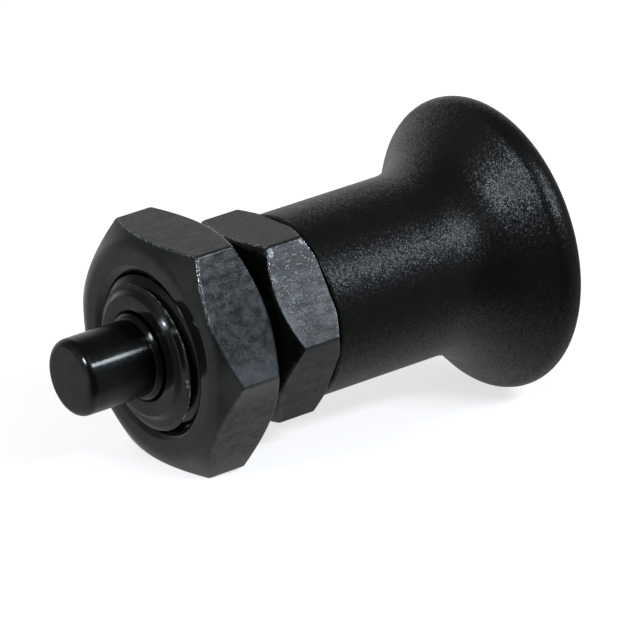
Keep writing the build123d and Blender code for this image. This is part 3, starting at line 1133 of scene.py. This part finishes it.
class PLUNGER_OT_spring(bpy.types.Operator):
    """Build the compression spring"""

    bl_idname = "plunger.spring"
    bl_label = "Compression Spring"

    def execute(self, context):
        spring = build_spring()
        hand_over(spring, "spring", "compression_spring",
                  turned_metal_material("spring_wire", (0.5, 0.49, 0.47), 0.32))
        pull = next(j for j in frame["joints"] if j["name"] == "plunger_pull")["range_m"][1]
        length = spring_high.x - spring_low.x
        (length - pull) / length
        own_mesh(spring)
        return {"FINISHED"}


class PLUNGER_OT_knob(bpy.types.Operator):
    """Build the moulded pull knob"""

    bl_idname = "plunger.knob"
    bl_label = "Pull Knob"

    def execute(self, context):
        knob = build_knob()
        hand_over(knob, "plunger", "knob",
                  knob_plastic_material(context.scene.plunger_finish))
        return {"FINISHED"}


class PLUNGER_OT_inner_parts(bpy.types.Operator):
    """Finish the rear bush and the knob's insert, which keep their CAD shape"""

    bl_idname = "plunger.inner_parts"
    bl_label = "Bush and Insert"

    def execute(self, context):
        for node, name, base, roughness in (
                ("rear_bush", "bush_steel", (0.06, 0.062, 0.06), 0.35),
                ("knob_insert", "insert_brass", (0.72, 0.53, 0.25), 0.3)):
            part = frame["nodes"][node]
            part.data.materials.clear()
            part.data.materials.append(turned_metal_material(name, base, roughness))
        return {"FINISHED"}


class PLUNGER_OT_stage(bpy.types.Operator):
    """Set up the pale floor that the plunger lies on, the soft studio light and the camera"""

    bl_idname = "plunger.stage"
    bl_label = "Stage"

    def execute(self, context):
        sizes = context.scene.plunger_sizes
        floor = start_piece(
            "floor", bpy.ops.mesh.primitive_plane_add, size=sizes.floor_size,
            location=(RESTING_X, 0, -NUT_FLATS / 2), rotation=(0, sizes.floor_tilt, 0))
        place(floor)
        floor.data.materials.append(floor_material())

        target = Vector((8 * MM, 0, 0))
        add_softbox("key", toward(45, 33), toward(0, 43), 0.07, 0.76, target)
        add_softbox("side", toward(288, 35), toward(275, 36), 0.1, 0.7, target)
        studio_world()

        bpy.ops.object.camera_add()
        camera = context.active_object
        camera.name = "camera"
        turn = Matrix((CAMERA_RIGHT, CAMERA_UP, CAMERA_RIGHT.cross(CAMERA_UP))).transposed()
        camera.location = CAMERA_PLACE
        camera.rotation_euler = turn.to_euler()
        camera.data.sensor_width = 36.0
        camera.data.lens = CAMERA_LENS
        camera.data.clip_start, camera.data.clip_end = 0.05, 20.0
        camera.data.dof.use_dof = False
        context.scene.camera = camera
        context.scene.view_settings.view_transform = "Standard"
        context.scene.view_settings.look = "None"
        return {"FINISHED"}


class PLUNGER_PT_panel(bpy.types.Panel):
    """Lists the plunger's sizes, finishes and build steps"""

    bl_idname = "PLUNGER_PT_panel"
    bl_label = "Indexing Plunger"
    bl_space_type = "VIEW_3D"
    bl_region_type = "UI"
    bl_category = "Plunger"

    def draw(self, context):
        for owner, group in ((context.scene.plunger_sizes, PlungerSizes),
                             (context.scene.plunger_finish, PlungerFinish)):
            column = self.layout.column(align=True)
            for name in group.__annotations__:
                column.prop(owner, name)
        for operator in STEPS:
            self.layout.operator(operator.bl_idname)


STEPS = (
    PLUNGER_OT_lock_nut,
    PLUNGER_OT_guide_body,
    PLUNGER_OT_pin,
    PLUNGER_OT_spring,
    PLUNGER_OT_knob,
    PLUNGER_OT_inner_parts,
    PLUNGER_OT_stage,
)
CLASSES = (PlungerSizes, PlungerFinish, *STEPS, PLUNGER_PT_panel)


def register():
    """Registers the classes and hangs the settings on the scene."""
    for cls in CLASSES:
        bpy.utils.register_class(cls)
    bpy.types.Scene.plunger_sizes = PointerProperty(type=PlungerSizes)
    bpy.types.Scene.plunger_finish = PointerProperty(type=PlungerFinish)


def unregister():
    """Takes the settings and the classes away again."""
    del bpy.types.Scene.plunger_finish
    del bpy.types.Scene.plunger_sizes
    for cls in reversed(CLASSES):
        bpy.utils.unregister_class(cls)


def main():
    """Builds every piece and the stage."""
    register()
    bpy.ops.plunger.lock_nut()
    bpy.ops.plunger.guide_body()
    bpy.ops.plunger.pin()
    bpy.ops.plunger.spring()
    bpy.ops.plunger.knob()
    bpy.ops.plunger.inner_parts()
    bpy.ops.plunger.stage()


if __name__ == "__main__":
    main()
